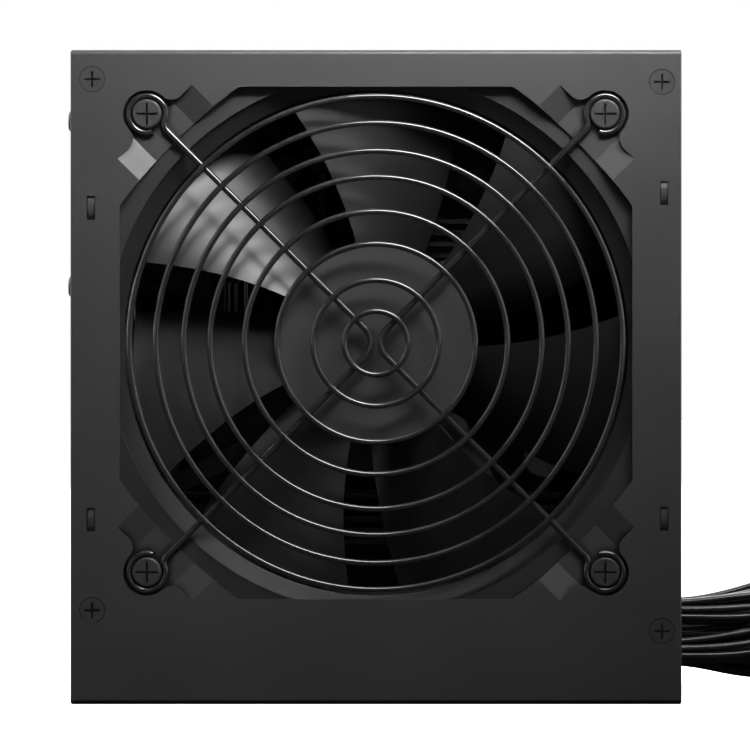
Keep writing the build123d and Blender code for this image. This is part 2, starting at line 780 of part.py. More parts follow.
def build_fan_motor():
    """Yoke, magnet, shaft, bearing, stator, coils and driver board inside the hub."""
    inside = hub_radius - hub_wall
    cavity_y = hub_front_y + hub_wall
    ring_piece("rotor_yoke", cavity_y, yoke_length, inside, inside - yoke_wall)
    ring_piece("rotor_magnet", cavity_y, yoke_length, inside - yoke_wall,
               inside - yoke_wall - magnet_wall)
    ring_piece("rotor_shaft", cavity_y, fan_back_y - motor_plate_floor - cavity_y - shaft_end_gap,
               shaft_radius, 0)
    tube_front = fan_back_y - motor_plate_thickness - bearing_tube_length
    ring_piece("fan_bearing", tube_front, fan_back_y - motor_plate_floor - tube_front,
               bearing_radius, shaft_radius + running_gap)
    stator_y = cavity_y + stator_gap
    pole_reach = inside - yoke_wall - magnet_wall - air_gap
    with BuildPart() as stator:
        with BuildSketch(fan_axis_plane(stator_y)):
            Circle(stator_core_radius)
            for pole in range(4):
                with Locations(Location((0, 0), 90 * pole)):
                    with Locations((pole_reach / 2, 0)):
                        Rectangle(pole_reach, pole_neck)
            with BuildSketch(mode=Mode.PRIVATE) as shoes:
                Circle(pole_reach)
                Circle(pole_reach - pole_shoe, mode=Mode.SUBTRACT)
                for pole in range(4):
                    with Locations(Location((0, 0), 45 + 90 * pole)):
                        with Locations((pole_reach, 0)):
                            Rectangle(pole_reach, pole_neck, mode=Mode.SUBTRACT)
            add(shoes.sketch)
            Circle(bearing_tube_radius, mode=Mode.SUBTRACT)
        extrude(amount=-stator_length)
    keep(stator.part, "fan_stator")
    with BuildPart() as coils:
        coil_half = pole_neck / 2 + coil_wall
        coil_end = sqrt((pole_reach - pole_shoe) ** 2 - coil_half ** 2) - fit_gap
        coil_start = stator_core_radius + fit_gap
        with BuildSketch(fan_axis_plane(stator_y - coil_wall)):
            for pole in range(4):
                with Locations(Location((0, 0), 90 * pole)):
                    with Locations(((coil_start + coil_end) / 2, 0)):
                        Rectangle(coil_end - coil_start, pole_neck + 2 * coil_wall)
        extrude(amount=-(stator_length + 2 * coil_wall))
        with BuildSketch(fan_axis_plane(stator_y)):
            for pole in range(4):
                with Locations(Location((0, 0), 90 * pole)):
                    with Locations((pole_reach / 2, 0)):
                        Rectangle(pole_reach, pole_neck)
        extrude(amount=-stator_length, mode=Mode.SUBTRACT)
    keep(coils.part, "stator_coils")
    ring_piece("fan_circuit", fan_back_y - motor_plate_thickness - fan_circuit_thickness,
               fan_circuit_thickness, fan_circuit_radius, bearing_tube_radius)


# ---------------------------------------------------------------- mains inlet and switch

def inlet_plane(offset=0.0):
    """Plane on the inlet wall's outer face at the inlet, its normal pointing into the case."""
    return Plane(origin=(inlet_wall_x + offset, inlet_y, inlet_z), x_dir=(0, 1, 0),
                 z_dir=(1, 0, 0))


def build_inlet():
    """Three-pin mains inlet: flanged body with a cavity, its pins and its screws."""
    pin_rows = [(0.0, inlet_pin_pitch), (0.0, -inlet_pin_pitch), (-inlet_earth_offset, 0.0)]
    with BuildPart() as body:
        with BuildSketch(inlet_plane(-inlet_flange_depth)):
            RectangleRounded(*inlet_flange, inlet_flange_corner)
        extrude(amount=inlet_flange_depth)
        with BuildSketch(inlet_plane()):
            Rectangle(inlet_hole[0] - 2 * fit_gap, inlet_hole[1] - 2 * fit_gap)
        extrude(amount=inlet_body_depth)
        with BuildSketch(inlet_plane(-inlet_flange_depth)) as mouth:
            Rectangle(*inlet_cavity)
            chamfer(mouth.vertices().group_by(Axis.X)[0], inlet_chamfer)
        extrude(amount=inlet_cavity_depth, mode=Mode.SUBTRACT)
        with BuildSketch(inlet_plane(-inlet_flange_depth)):
            with GridLocations(0, inlet_screw_spacing, 1, 2):
                Circle(inlet_screw_core / 2 + screw_gap)
        extrude(amount=inlet_flange_depth, mode=Mode.SUBTRACT)
        with BuildSketch(inlet_plane()):
            with Locations(*pin_rows):
                Rectangle(inlet_pin_width, inlet_pin_length)
        extrude(amount=inlet_body_depth, mode=Mode.SUBTRACT)
    keep(body.part, "inlet_body")
    with BuildPart() as pins:
        with BuildSketch(inlet_plane(inlet_pin_recess - inlet_flange_depth)):
            with Locations(*pin_rows):
                Rectangle(inlet_pin_width, inlet_pin_length)
        extrude(amount=inlet_flange_depth - inlet_pin_recess + inlet_body_depth + inlet_tab)
    keep(pins.part, "inlet_pins")
    with BuildPart() as screws:
        with BuildSketch(inlet_plane(-inlet_flange_depth)):
            with GridLocations(0, inlet_screw_spacing, 1, 2):
                Circle(inlet_screw_head / 2)
        extrude(amount=-inlet_screw_rise)
        fillet(screws.faces().group_by(Axis.X)[0].edges(), inlet_screw_rise / 2)
        with BuildSketch(inlet_plane(-inlet_flange_depth)):
            with GridLocations(0, inlet_screw_spacing, 1, 2):
                Circle(inlet_screw_core / 2)
        extrude(amount=inlet_screw_length)
        with BuildSketch(inlet_plane(-inlet_flange_depth - inlet_screw_rise)):
            with GridLocations(0, inlet_screw_spacing, 1, 2):
                Rectangle(case_cross, cross_width)
                Rectangle(cross_width, case_cross)
        extrude(amount=cross_depth, mode=Mode.SUBTRACT)
    keep(screws.part, "inlet_screws")


def switch_plane(offset=0.0):
    """Plane on the inlet wall's outer face at the switch, its normal pointing into the case."""
    return Plane(origin=(inlet_wall_x + offset, switch_y, switch_z), x_dir=(0, 1, 0),
                 z_dir=(1, 0, 0))


def build_switch():
    """Rocker switch: flanged housing with two tabs, and the rocker on its pins."""
    inside = (switch_hole[0] - 2 * fit_gap - 2 * switch_wall,
              switch_hole[1] - 2 * fit_gap - 2 * switch_wall)
    pivot = Axis((inlet_wall_x + rocker_pivot_depth, 0, switch_z), (0, 1, 0))
    pins = Plane(origin=(inlet_wall_x + rocker_pivot_depth, switch_y, switch_z),
                 x_dir=(1, 0, 0), z_dir=(0, 1, 0))
    with BuildPart() as bezel:
        with BuildSketch(switch_plane(-switch_flange_depth)):
            RectangleRounded(*switch_flange, switch_corner)
        extrude(amount=switch_flange_depth)
        with BuildSketch(switch_plane()):
            Rectangle(switch_hole[0] - 2 * fit_gap, switch_hole[1] - 2 * fit_gap)
        extrude(amount=switch_body_depth)
        with BuildSketch(switch_plane(-switch_flange_depth)):
            Rectangle(*inside)
        extrude(amount=switch_flange_depth + switch_body_depth - switch_wall, mode=Mode.SUBTRACT)
        with BuildSketch(pins):
            Circle(rocker_pin_radius + running_gap)
        extrude(amount=rocker_pin_reach + running_gap, both=True, mode=Mode.SUBTRACT)
        with BuildSketch(switch_plane(switch_body_depth)):
            with GridLocations(0, switch_tab_pitch, 1, 2):
                Rectangle(switch_tab[0], switch_tab[1])
        extrude(amount=inlet_tab)
    keep(bezel.part, "switch_bezel")
    with BuildPart() as rocker:
        width = inside[0] - 2 * rocker_gap
        with BuildSketch(pins):
            with BuildLine():
                Polyline((rocker_root, -rocker_root_half), (0, -rocker_half),
                         (-rocker_rise, -rocker_half), (rocker_dip - rocker_rise, 0),
                         (-rocker_rise, rocker_half), (0, rocker_half),
                         (rocker_root, rocker_root_half), close=True)
            make_face()
        extrude(amount=width / 2, both=True)
        ridge = rocker.faces().filter_by(Axis.Y)
        chamfer([e for f in ridge for e in f.edges()
                 if e.center().X < pivot.position.X - rocker_rise / 2], rocker_chamfer)
        with BuildSketch(pins):
            Circle(rocker_pin_radius)
        extrude(amount=rocker_pin_reach, both=True)
    keep(rocker.part.rotate(pivot, rocker_tilt), "switch_rocker")


# ---------------------------------------------------------------- circuit board

def board_plane(x, z, lift=0.0):
    """Plane on the board's component side at a place, its normal towards the fan."""
    return Plane(origin=(x, board_front_y - lift, z), x_dir=(1, 0, 0), z_dir=(0, -1, 0))


def board_holes():
    """Board screw places."""
    reach_x = case_depth / 2 - board_inset - board_screw_inset
    reach_z = case_width / 2 - board_inset - board_screw_inset
    return [(sx * reach_x, case_width / 2 + sz * reach_z) for sx, sz in corner_frames()]


def build_board():
    """Main board on four standoffs, with its screws and an insulating sheet behind it."""
    size = (case_depth - 2 * board_inset, case_width - 2 * board_inset)
    with BuildPart() as board:
        with BuildSketch(facing(board_back_y)):
            with Locations((0, case_width / 2)):
                RectangleRounded(*size, 2)
            with Locations(*board_holes()):
                Circle(board_screw_core / 2 + screw_gap, mode=Mode.SUBTRACT)
        extrude(amount=board_thickness)
    keep(board.part, "circuit_board")
    with BuildPart() as standoffs:
        with BuildSketch(facing(back_panel_y - sheet)):
            with Locations(*board_holes()):
                RegularPolygon(standoff_radius, 6)
                Circle(board_screw_core / 2 + screw_gap, mode=Mode.SUBTRACT)
        extrude(amount=board_standoff)
    keep(standoffs.part, "board_standoffs")
    with BuildPart() as screws:
        with BuildSketch(facing(board_front_y)):
            with Locations(*board_holes()):
                Circle(board_screw_head / 2)
        extrude(amount=board_screw_rise)
        with BuildSketch(facing(board_front_y)):
            with Locations(*board_holes()):
                Circle(board_screw_core / 2)
        extrude(amount=-(board_thickness + board_standoff * 0.75))
        add(driver_cross(facing(board_front_y - board_screw_rise), board_holes(), case_cross,
                         cross_depth), mode=Mode.SUBTRACT)
    keep(screws.part, "board_screws")
    with BuildPart() as liner:
        with BuildSketch(facing(back_panel_y - sheet)):
            with Locations((0, case_width / 2)):
                RectangleRounded(size[0], size[1], 2)
            with Locations(*board_holes()):
                Circle(standoff_radius + liner_gap, mode=Mode.SUBTRACT)
        extrude(amount=liner_thickness)
    keep(liner.part, "insulator_sheet")


def build_can_capacitors(label, cans):
    """Electrolytic cans standing on the board: x, z, diameter and height of each."""
    with BuildPart() as group:
        for x, z, diameter, height in cans:
            with BuildPart(board_plane(x, z), mode=Mode.PRIVATE) as can:
                Cylinder(diameter / 2, height, align=(Align.CENTER, Align.CENTER, Align.MIN))
                with BuildSketch(board_plane(x, z, height)):
                    Rectangle(diameter * 0.8, can_groove)
                    Rectangle(can_groove, diameter * 0.8)
                extrude(amount=-can_groove, mode=Mode.SUBTRACT)
                with BuildSketch(board_plane(x, z, can_neck_height)):
                    Circle(diameter / 2 + 1)
                    Circle(diameter / 2 - can_groove, mode=Mode.SUBTRACT)
                extrude(amount=can_groove * 2, mode=Mode.SUBTRACT)
            add(can.part)
    keep(group.part, label)


def build_toroid(label, x, z, radius, hole, thickness, standing, turns):
    """Choke: a wound ring, lying flat on the board or standing on its edge."""
    middle = (radius + hole) / 2
    wire = choke_wire
    lift = radius + wire if standing else thickness / 2 + wire
    plane = board_plane(x, z, lift)
    if standing:
        plane = Plane(origin=plane.origin, x_dir=(1, 0, 0), z_dir=(0, 0, 1))
    with BuildPart() as choke:
        with BuildSketch(plane.offset(-thickness / 2)):
            Circle(radius)
            Circle(hole, mode=Mode.SUBTRACT)
        extrude(amount=thickness)
        for turn in range(turns):
            angle = radians(360 / turns * turn)
            out = plane.from_local_coords(Vector(cos(angle), sin(angle), 0)) - plane.origin
            here = plane.origin + out * middle
            loop = Plane(origin=here, x_dir=out, z_dir=out.cross(plane.z_dir))
            with BuildSketch(loop.offset(-wire / 2)):
                RectangleRounded(radius - hole + 2 * wire, thickness + 2 * wire, wire)
            extrude(amount=wire)
    keep(choke.part, label)


def build_transformer(prefix, x, z, width, length, height):
    """Two-legged core with a winding on a pinned bobbin between its legs."""
    leg = width * core_leg_share
    with BuildPart() as core:
        with BuildSketch(board_plane(x, z, bobbin_base)):
            Rectangle(width, length * core_length_share)
        extrude(amount=height - bobbin_base)
        with BuildSketch(board_plane(x, z, bobbin_base)):
            Rectangle(width - 2 * leg, length)
        extrude(amount=height - bobbin_base - leg, mode=Mode.SUBTRACT)
        with BuildSketch(board_plane(x, z, bobbin_base)):
            Rectangle(width - 2 * leg, length)
        extrude(amount=leg * 0.6)
        with BuildSketch(board_plane(x, z, bobbin_base)):
            Circle(core_post)
        extrude(amount=height - bobbin_base)
    with BuildPart() as clipped:
        with BuildSketch(board_plane(x, z, bobbin_base)):
            Rectangle(width, length * core_length_share)
        extrude(amount=height - bobbin_base)
        add(core.part, mode=Mode.INTERSECT)
    keep(clipped.part, f"{prefix}_core")
    with BuildPart() as winding:
        low = bobbin_base + leg * 0.6
        high = height - leg
        with BuildSketch(board_plane(x, z, low + fit_gap)):
            RectangleRounded(width - 2 * leg - 2 * fit_gap, length, 2.5)
            Circle(core_post + fit_gap, mode=Mode.SUBTRACT)
        extrude(amount=high - low - 2 * fit_gap)
        with BuildSketch(board_plane(x, z)):
            with GridLocations(0, length - 3 * bobbin_rail, 1, 2):
                Rectangle(width - 2 * leg - 2 * fit_gap, 2 * bobbin_rail)
        extrude(amount=low + fit_gap)
        add(clipped.part, mode=Mode.SUBTRACT)
    keep(winding.part, f"{prefix}_winding")


def build_blocks(label, blocks, edge=0.6):
    """Moulded blocks standing on the board: x, z, width, length and height of each."""
    with BuildPart() as group:
        for x, z, width, length, height in blocks:
            with BuildPart(mode=Mode.PRIVATE) as block:
                with BuildSketch(board_plane(x, z)):
                    Rectangle(width, length)
                extrude(amount=height)
                fillet(block.edges().filter_by(Axis.Y) + block.faces().sort_by(Axis.Y)[0].edges(),
                       edge)
            add(block.part)
    keep(group.part, label)


def build_heatsink(label, x, z, length, height):
    """Extruded heatsink: a web standing on the board and a comb of fins towards the fan."""
    head = heatsink_fins * heatsink_pitch - (heatsink_pitch - heatsink_fin)
    top = board_front_y - height
    with BuildPart() as sink:
        with BuildSketch(Plane(origin=(x - length / 2, 0, z), x_dir=(0, 1, 0), z_dir=(1, 0, 0))):
            with Locations(((top + board_front_y) / 2 + heatsink_fin_depth / 2, 0)):
                Rectangle(height - heatsink_fin_depth, heatsink_web)
            with Locations((top + heatsink_fin_depth + heatsink_base / 2, 0)):
                Rectangle(heatsink_base, head)
            with Locations((top + heatsink_fin_depth / 2, 0)):
                with GridLocations(0, heatsink_pitch, 1, heatsink_fins):
                    Rectangle(heatsink_fin_depth, heatsink_fin)
        extrude(amount=length)
    keep(sink.part, label)


def build_power_packages(label, places, face_z, side, size):
    """Flat power packages against a heatsink web, each with three legs into the board."""
    width, thickness, height = size
    with BuildPart() as group:
        for x in places:
            z = face_z + side * thickness / 2
            with BuildSketch(board_plane(x, z, package_leg)):
                Rectangle(width, thickness)
            extrude(amount=height)
            with BuildSketch(board_plane(x, z)):
                with GridLocations(width / 3, 0, 3, 1):
                    Rectangle(package_lead, package_lead / 2)
            extrude(amount=package_leg)
    keep(group.part, label)


def build_fuse(x, z):
    """Fuse tube lying in two clips."""
    with BuildPart() as fuse:
        with BuildSketch(board_plane(x, z)):
            with GridLocations(fuse_length - fuse_clip, 0, 2, 1):
                Rectangle(fuse_clip, fuse_radius * 2.4)
        extrude(amount=fuse_lift)
        with BuildSketch(Plane(origin=(x - fuse_length / 2, board_front_y - fuse_lift, z),
                               x_dir=(0, 1, 0), z_dir=(1, 0, 0))):
            Circle(fuse_radius)
        extrude(amount=fuse_length)
    keep(fuse.part, "fuse")


def build_controller():
    """Small upright board that carries the control chip."""
    x, low, high, reach = controller_board_place
    with BuildPart() as card:
        with BuildSketch(board_plane(x, (low + high) / 2)):
            Rectangle(controller_thickness, high - low)
        extrude(amount=reach)
        with BuildSketch(Plane(origin=(x + controller_thickness / 2, board_front_y - reach / 2,
                                       (low + high) / 2), x_dir=(0, 1, 0), z_dir=(1, 0, 0))):
            Rectangle(reach * 0.4, (high - low) * 0.4)
        extrude(amount=controller_chip)
    keep(card.part, "controller_board")


def round_lead(points, diameter, radii):
    """Wire of round section along straight runs joined by arcs."""
    with BuildPart() as lead:
        with BuildLine() as path:
            FilletPolyline(*points, radius=radii)
        with BuildSketch(Plane(origin=path.wire() @ 0, z_dir=path.wire() % 0)):
            Circle(diameter / 2)
        sweep(path=path.wire())
    return lead.part


def build_small_leads():
    """Inlet wires to the switch and the board, and the fan's lead with its plug."""
    tab_x = inlet_wall_x + inlet_body_depth + inlet_tab
    with BuildPart() as wires:
        for z, land in zip((inlet_z + inlet_pin_pitch, inlet_z - inlet_pin_pitch), inlet_landings):
            add(round_lead([(tab_x, inlet_y, z), (tab_x + lead_out, inlet_y, z),
                            (tab_x + lead_out, board_front_y - lead_stand, land),
                            (tab_x + lead_out, board_front_y, land)], lead_wire, lead_bends))
        back = inlet_wall_x + switch_body_depth + inlet_tab
        for side in (-1, 1):
            z = switch_z + side * switch_tab_pitch / 2
            land = z + side * switch_lead_spread
            add(round_lead([(back, switch_y, z), (back + lead_out, switch_y, z),
                            (back + lead_out, board_front_y - lead_stand, land),
                            (back + lead_out, board_front_y, land)], lead_wire, lead_bends))
    keep(wires.part, "inlet_wires")
    start = (fan_size / 2 + frame_wall, fan_back_y - lead_notch / 2,
             fan_z - fan_hole_spacing / 2 + fan_lead_offset)
    plug_top = board_front_y - fan_plug[2]
    with BuildPart() as lead:
        add(round_lead([(start[0] - fan_lead_inside, start[1], start[2]),
                        (start[0] + 3.5, start[1], start[2]),
                        (start[0] + 3.5, plug_top - 6, fan_plug_z),
                        (fan_plug_x, plug_top - 6, fan_plug_z),
                        (fan_plug_x, plug_top, fan_plug_z)], fan_lead_diameter, [2, 2, 2]))
    keep(lead.part, "fan_lead")
    build_blocks("fan_plug", [(fan_plug_x, fan_plug_z, fan_plug[0], fan_plug[1], fan_plug[2])], 0.3)


def build_electronics():
    """Everything that stands on the main board."""
    build_can_capacitors("bulk_capacitor", [(-30.0, 70.0, 30.0, 42.0)])
    build_can_capacitors("output_capacitors", [
        (-21.5, 124.8, 6.6, 30.0), (-14.4, 127.6, 6.6, 30.0), (-6.9, 113.6, 6.6, 26.0),
        (-6.9, 106.2, 6.6, 24.0), (24.0, 121.3, 8.0, 30.0), (36.0, 66.0, 8.0, 22.0),
        (46.0, 66.0, 8.0, 22.0), (56.0, 66.0, 8.0, 22.0), (41.0, 55.6, 10.0, 20.0),
        (53.0, 55.6, 10.0, 20.0)])
    build_transformer("transformer", 3.0, 66.5, 33.0, 31.0, 34.0)
    build_transformer("standby_transformer", 30.0, 25.5, 18.0, 17.0, 20.0)
    build_toroid("output_choke", 42.0, 88.0, 11.5, 6.0, 10.0, False, 22)
    build_toroid("pfc_choke", -24.0, 93.0, 12.0, 6.5, 8.0, True, 26)
    build_toroid("emi_choke", -30.0, 111.0, 9.0, 5.0, 9.0, False, 18)
    build_blocks("x_capacitors", [(-30.0, 133.0, 18.0, 8.0, 14.0), (-52.0, 48.0, 8.0, 16.0, 14.0)])
    build_blocks("y_capacitors", [(-58.0, 92.0, 3.0, 7.0, 7.0), (-52.0, 92.0, 3.0, 7.0, 7.0)], 1.0)
    build_fuse(-40.0, 141.0)
    build_heatsink("primary_heatsink", -1.0, primary_sink_z, 90.0, 46.0)
    build_heatsink("secondary_heatsink", 33.0, secondary_sink_z, 46.0, 44.0)
    build_power_packages("power_transistors", [-28.0, -6.0, 16.0],
                         primary_sink_z + heatsink_web / 2, 1, (15.0, 4.6, 20.0))
    build_power_packages("bridge_rectifier", [-34.0, -12.0],
                         primary_sink_z - heatsink_web / 2, -1, (18.0, 4.0, 18.0))
    build_power_packages("output_rectifiers", [20.0, 34.0, 48.0],
                         secondary_sink_z + heatsink_web / 2, 1, (10.0, 4.4, 15.0))
    build_controller()
    build_small_leads()


# ---------------------------------------------------------------- cable exit and cables

def build_grommet():
    """Snap-in plastic grommet that lines the cable opening."""
    inner = (exit_hole[0] - 2 * grommet_wall, exit_hole[1] - 2 * grommet_wall)
    neck = (exit_hole[0] - 2 * fit_gap, exit_hole[1] - 2 * fit_gap)
    outer = (exit_hole[0] + 2 * grommet_lip, exit_hole[1] + 2 * grommet_lip)
    place = Location((exit_y, exit_z))
    with BuildPart() as grommet:
        with BuildSketch(inlet_side(cable_wall_x)):
            with Locations(place):
                RectangleRounded(*outer, exit_corner + grommet_lip)
        extrude(amount=grommet_lip_depth)
        chamfer(grommet.faces().sort_by(Axis.X)[-1].edges(), grommet_lip_depth / 2)
        with BuildSketch(inlet_side(cable_wall_x - sheet)):
            with Locations(place):
                RectangleRounded(*outer, exit_corner + grommet_lip)
        extrude(amount=-grommet_lip_depth)
        with BuildSketch(inlet_side(cable_wall_x - sheet - grommet_lip_depth)):
            with Locations(place):
                RectangleRounded(*neck, exit_corner - fit_gap)
        extrude(amount=sheet + 2 * grommet_lip_depth)
        with BuildSketch(inlet_side(cable_wall_x - sheet - grommet_lip_depth)):
            with Locations(place):
                RectangleRounded(*inner, exit_corner - grommet_wall)
        extrude(amount=sheet + 2 * grommet_lip_depth, mode=Mode.SUBTRACT)
    keep(grommet.part, "cable_grommet")


def coil_radius(cable, swept):
    """Distance of a cable's turn point from the coil's centre after so many degrees."""
    return cable["outer"] - cable["pitch"] * swept / 360


def coil_points(cable):
    """Turn points of a cable's coil, clockwise from where the cable joins it."""
    points = []
    for step in range(cable["steps"] + 1):
        angle = radians(coil_start_angle - coil_step * step)
        radius = coil_radius(cable, coil_step * step)
        points.append((coil_x + radius * cos(angle), coil_y + radius * sin(angle),
                       cable["level"]))
    return points


def cable_route(cable):
    """All points of a cable: way in from the grommet, coil, and tail inside the coil."""
    way_in = [(cable_wall_x + x, y, z) for x, y, z in cable["way_in"]]
    tail = [(coil_x + x, coil_y + y, z) for x, y, z in cable["tail"]]
    return [(cable_wall_x, *cable["exit"])] + way_in + coil_points(cable) + tail


def bend_radii(route):
    """Largest arc at each corner that its two runs allow."""
    points = [Vector(*point) for point in route]
    radii = []
    for before, corner, after in zip(points, points[1:], points[2:]):
        turn = (corner - before).get_angle(after - corner)
        shorter = min((corner - before).length, (after - corner).length)
        radii.append(0.45 * shorter / tan(radians(turn / 2)))
    return radii


def build_cables():
    """One plain round tube for each bundle of wires, from the grommet to its connector."""
    for name, cable in cables.items():
        route = cable_route(cable)
        radii = bend_radii(route)
        with BuildPart() as tube:
            with BuildLine() as path:
                FilletPolyline(*route, radius=radii)
            with BuildSketch(Plane(origin=path.wire() @ 0, z_dir=path.wire() % 0)):
                Circle(cable["diameter"] / 2)
            sweep(path=path.wire())
        length = path.wire().length
        section = pi * cable["diameter"] ** 2 / 4
        print(f"{name}: length {length:.1f} mm, smallest radius {min(radii):.1f} mm, "
              f"volume {tube.part.volume / (section * length):.4f} of section times length")
        print("  radii " + " ".join(f"{radius:.0f}" for radius in radii))
        keep(tube.part, name)


def end_plane(cable):
    """Plane on a cable's end: x across the cable and level, y up, normal along the cable."""
    route = cable_route(cable)
    end = Vector(*route[-1])
    along = end - Vector(*route[-2])
    flat = Vector(along.X, along.Y, 0).normalized()
    return Plane(origin=end, x_dir=(flat.Y, -flat.X, 0), z_dir=(flat.X, flat.Y, 0))


def build_pin_connector(cable, label, columns):
    """Two-row power connector: housing, contact pockets, latch and feet."""
    plane = end_plane(cable)
    width = columns * connector_pitch + 2 * connector_wall
    with BuildPart() as connector:
        with BuildSketch(plane):
            Rectangle(width, connector_height)
        extrude(amount=connector_depth)
        with BuildSketch(plane.offset(connector_depth)):
            with GridLocations(connector_pitch, connector_pitch, columns, 2):
                Rectangle(connector_pocket, connector_pocket)
        extrude(amount=-connector_pocket_depth, mode=Mode.SUBTRACT)
        with BuildSketch(plane.offset(connector_wall)):
            with Locations((0, (connector_height + latch_rise) / 2)):
                Rectangle(latch_width, latch_rise)
            with Locations((0, -(connector_height + foot_rise) / 2)):
                with GridLocations(width - 2 * connector_pitch, 0, 2, 1):
                    Rectangle(connector_wall, foot_rise)
        extrude(amount=connector_depth - 2 * connector_wall)
    keep(connector.part, label)


def build_drive_connector(cable, label):
    """Flat drive connector with its long slot."""
    plane = end_plane(cable)
    with BuildPart() as connector:
        with BuildSketch(plane):
            Rectangle(drive_plug[0], drive_plug[1])
        extrude(amount=drive_plug[2])
        fillet(connector.edges().filter_by(Axis(plane.origin, plane.z_dir)), 0.8)
        with BuildSketch(plane.offset(drive_plug[2])):
            Rectangle(drive_slot[0], drive_slot[1])
        extrude(amount=-drive_slot[2], mode=Mode.SUBTRACT)
    keep(connector.part, label)


def build_ties():
    """Flat ties round the whole coil, each drawn close to the cables at its place."""
    half = radians(coil_step / 2)
    inset = 0.9 * sin(half) / tan(half) * (1 / cos(half) - 1)
    with BuildPart() as ties:
        for swept in tie_places:
            near = []
            far = []
            for cable in cables.values():
                for turn in (0, 360):
                    if swept + turn <= cable["steps"] * coil_step:
                        middle = coil_radius(cable, swept + turn) * (1 - inset)
                        near.append(middle - cable["diameter"] / 2)
                        far.append(middle + cable["diameter"] / 2)
            top = max(cable["level"] + cable["diameter"] / 2 for cable in cables.values())
            low = min(near) - tie_gap - tie_thickness
            high = max(far) + tie_gap + tie_thickness
            angle = radians(coil_start_angle - swept)
            out = Vector(cos(angle), sin(angle), 0)
            place = Plane(origin=(coil_x, coil_y, 0), x_dir=out,
                          z_dir=out.cross(Vector(0, 0, 1)))
            with BuildSketch(place.offset(-tie_width / 2)):
                height = top + tie_gap + tie_thickness
                with Locations(((low + high) / 2, height / 2)):
                    RectangleRounded(high - low, height, tie_corner)
                    RectangleRounded(high - low - 2 * tie_thickness, height - 2 * tie_thickness,
                                     tie_corner - tie_thickness, mode=Mode.SUBTRACT)
                with Locations((high + tie_head / 2 - tie_thickness / 2, height * 0.7)):
                    Rectangle(tie_head, tie_head * 1.3)
            extrude(amount=tie_width)
    keep(ties.part, "cable_ties")


def build_board_leads():
    """Bundles of wires from the board to the grommet, where the cables carry on."""
    with BuildPart() as leads:
        for cable in cables.values():
            y, z = cable["exit"]
            x = cable["board_x"]
            bend = min(1.1 * cable["diameter"], 0.9 * (cable_wall_x - x))
            add(round_lead([(cable_wall_x, y, z), (x, y, z), (x, board_front_y, z)],
                           cable["diameter"], [bend]))
    keep(leads.part, "board_leads")


build_fan_cover()
build_chassis()
build_case_screws()
build_fan_screws()
build_guard_rings()
build_guard_spoke(-1, "guard_spoke_left")
build_guard_spoke(1, "guard_spoke_right")
build_fan_frame()
build_fan_rotor()
build_fan_motor()
build_inlet()
build_switch()
build_board()
build_electronics()
build_grommet()
build_board_leads()
build_cables()
build_pin_connector(cables["main_cable"], "main_connector", 12)
build_pin_connector(cables["processor_cable"], "processor_connector", 4)
build_pin_connector(cables["graphics_cable"], "graphics_connector", 4)
build_drive_connector(cables["drive_cable"], "drive_connector")
build_ties()
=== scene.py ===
"""Looks of the boxed power supply: wire bundles, surface finishes, studio and camera."""
import json
import math

import bpy
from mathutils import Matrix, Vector


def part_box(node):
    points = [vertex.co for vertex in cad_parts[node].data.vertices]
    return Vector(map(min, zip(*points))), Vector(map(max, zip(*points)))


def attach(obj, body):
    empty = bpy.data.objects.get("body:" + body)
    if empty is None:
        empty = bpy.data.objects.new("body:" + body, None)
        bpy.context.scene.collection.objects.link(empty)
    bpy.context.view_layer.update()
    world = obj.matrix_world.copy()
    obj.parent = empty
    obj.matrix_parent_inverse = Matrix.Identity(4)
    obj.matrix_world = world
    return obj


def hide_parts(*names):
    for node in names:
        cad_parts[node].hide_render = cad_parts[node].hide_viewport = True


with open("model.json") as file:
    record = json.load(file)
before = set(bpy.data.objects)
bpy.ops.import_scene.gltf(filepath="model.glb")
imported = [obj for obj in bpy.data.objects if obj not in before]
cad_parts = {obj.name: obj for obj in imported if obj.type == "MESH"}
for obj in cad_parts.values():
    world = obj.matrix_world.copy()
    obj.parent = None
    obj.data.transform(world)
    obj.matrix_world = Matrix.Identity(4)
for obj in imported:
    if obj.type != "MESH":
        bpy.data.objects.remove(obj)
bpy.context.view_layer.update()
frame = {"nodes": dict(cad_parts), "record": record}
nodes = frame["nodes"]
scene = bpy.context.scene

# ---------------------------------------------------------------- camera

VIEW_WIDTH = 0.17174  # what the picture shows across, at the fan panel
LENS = 200.0
SENSOR = 36.0
AIM_X = -0.00023
AIM_Z = 0.07546


def make_camera():
    """Camera straight in front of the fan panel."""
    panel_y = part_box("fan_cover")[0].y
    data = bpy.data.cameras.new("camera")
    data.lens = LENS
    data.sensor_width = SENSOR
    data.clip_start = 0.01
    data.clip_end = 100.0
    camera = bpy.data.objects.new("camera", data)
    scene.collection.objects.link(camera)
    camera.location = (AIM_X, panel_y - VIEW_WIDTH * LENS / SENSOR, AIM_Z)
    camera.rotation_euler = (math.pi / 2, 0, 0)
    scene.camera = camera


make_camera()

# ---------------------------------------------------------------- cables
# Metres and degrees. A route runs out of the grommet, round the coil and, as the tail, from the coil
# to the connector. Tail points are measured from the coil's centre. Each ring of a bundle is its
# number of wires and its radius, and wire is the radius of one wire.

